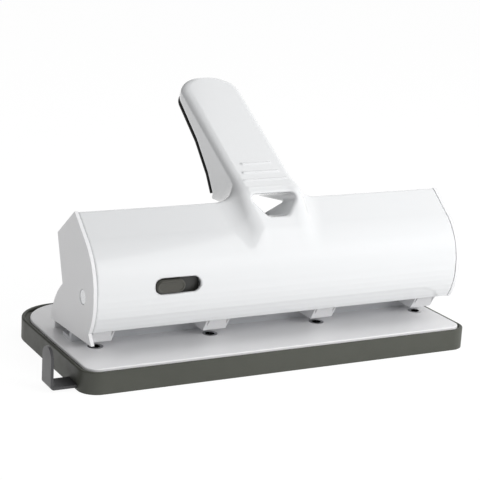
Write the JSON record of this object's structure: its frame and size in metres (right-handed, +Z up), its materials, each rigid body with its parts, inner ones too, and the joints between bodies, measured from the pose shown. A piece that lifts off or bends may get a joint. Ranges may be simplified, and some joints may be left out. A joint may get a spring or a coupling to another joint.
{
  "type": "four-hole lever punch",
  "caption": "Desk paper punch: long rounded hood with a lean-back lever handle, punch towers over a flat plate, a chip tray below and a pull-out paper guide at one side.",
  "frame": {"origin": "on the resting plane, below the middle of the row of holes", "axes": "+X to the right along the row of holes, +Y away from the user, the way the paper goes in, +Z up"},
  "size_m": [0.2968, 0.1562, 0.166],
  "materials": {
    "dark_plastic": "satin dark grey",
    "guide_metal": "grey paint, satin",
    "hard_steel": "ground",
    "rubber": "matte",
    "steel": "brushed",
    "tray_plastic": "satin olive-grey, fine texture",
    "white_gloss": "glossy white",
    "white_paint": "white paint, satin",
    "white_satin": "satin white",
    "zinc": "zinc plated"
  },
  "bodies": {
    "base": {"base_tray": "tray_plastic", "rest_pads": "rubber", "tray_hinge_pins": "zinc", "guide_clip": "tray_plastic"},
    "guide": {"paper_guide": "guide_metal", "guide_stop": "zinc"},
    "chassis": {"base_plate": "white_satin", "punch_dies": "hard_steel", "punch_frame": "white_paint", "frame_screws": "zinc", "rear_shield": "zinc", "rear_cover": "white_satin", "end_plate_left": "white_satin", "end_plate_right": "white_satin", "tower_screws": "zinc", "pivot_shaft": "steel", "pivot_bushes": "dark_plastic", "pivot_screws": "zinc", "punch_tower_1": "white_satin", "punch_tower_2": "white_satin", "punch_tower_3": "white_satin", "punch_tower_4": "white_satin", "return_spring_1": "steel", "return_spring_2": "steel", "return_spring_3": "steel", "return_spring_4": "steel"},
    "lever": {"lever_cover": "white_gloss", "yoke_left": "zinc", "yoke_right": "zinc", "presser_bar": "steel", "handle_insert": "dark_plastic", "insert_screws": "zinc"},
    "lock": {"lock_slider": "dark_plastic", "lock_latch": "zinc"},
    "pin_1": {"punch_pin_1": "hard_steel"},
    "pin_2": {"punch_pin_2": "hard_steel"},
    "pin_3": {"punch_pin_3": "hard_steel"},
    "pin_4": {"punch_pin_4": "hard_steel"}
  },
  "joints": [
    {"name": "tray_hinge", "type": "hinge", "parent": "base", "child": "chassis", "pos_m": [0, 0.0881, 0.013], "axis": [-1, 0, 0], "range_deg": [0, 60]},
    {"name": "lever_hinge", "type": "hinge", "parent": "chassis", "child": "lever", "pos_m": [0, -0.0096, 0.0514], "axis": [-1, 0, 0], "range_deg": [0, 45], "stiffness_Nm_per_rad": 1.6, "springref_deg": -25.78},
    {"name": "lock_slide", "type": "slide", "parent": "lever", "child": "lock", "axis": [1, 0, 0], "range_m": [0, 0.0108]},
    {"name": "guide_slide", "type": "slide", "parent": "base", "child": "guide", "axis": [-1, 0, 0], "range_m": [-0.012, 0.06]},
    {"name": "pin_1_slide", "type": "slide", "parent": "chassis", "child": "pin_1", "axis": [0, 0, -1], "range_m": [0, 0.00845], "deforming": ["return_spring_1"]},
    {"name": "pin_2_slide", "type": "slide", "parent": "chassis", "child": "pin_2", "axis": [0, 0, -1], "range_m": [0, 0.00845], "deforming": ["return_spring_2"]},
    {"name": "pin_3_slide", "type": "slide", "parent": "chassis", "child": "pin_3", "axis": [0, 0, -1], "range_m": [0, 0.00845], "deforming": ["return_spring_3"]},
    {"name": "pin_4_slide", "type": "slide", "parent": "chassis", "child": "pin_4", "axis": [0, 0, -1], "range_m": [0, 0.00845], "deforming": ["return_spring_4"]}
  ],
  "couplings": [
    {"joint": "pin_1_slide", "follows": "lever_hinge", "m_per_rad": 0.010719},
    {"joint": "pin_2_slide", "follows": "lever_hinge", "m_per_rad": 0.010719},
    {"joint": "pin_3_slide", "follows": "lever_hinge", "m_per_rad": 0.010719},
    {"joint": "pin_4_slide", "follows": "lever_hinge", "m_per_rad": 0.010719}
  ]
}
